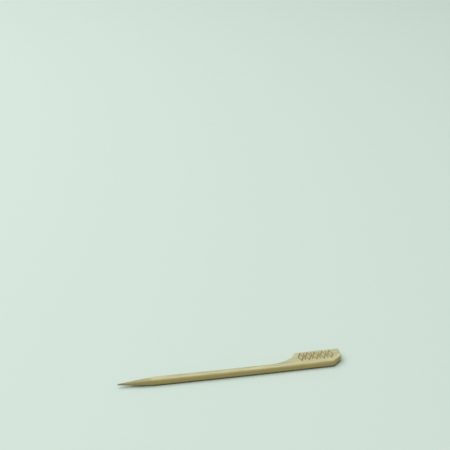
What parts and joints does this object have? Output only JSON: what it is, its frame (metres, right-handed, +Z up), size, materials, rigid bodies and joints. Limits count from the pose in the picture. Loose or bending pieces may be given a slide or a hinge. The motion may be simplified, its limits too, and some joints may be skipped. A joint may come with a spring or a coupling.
{
  "type": "bamboo paddle pick",
  "caption": "Flat bamboo food pick: a square stick turned to a point at one end, with a flag-shaped blade at the other.",
  "frame": {"origin": "under the middle of the pick's box, on the surface that it lies on", "axes": "+X along the stick from the point to the blade's end, +Y across the blade from the spine to its free edge, +Z up out of the flat face"},
  "size_m": [0.09, 0.0078, 0.0028],
  "materials": {
    "bamboo": "planed and sanded bamboo, untreated"
  },
  "bodies": {
    "root": {"pick": "bamboo"}
  },
  "joints": []
}
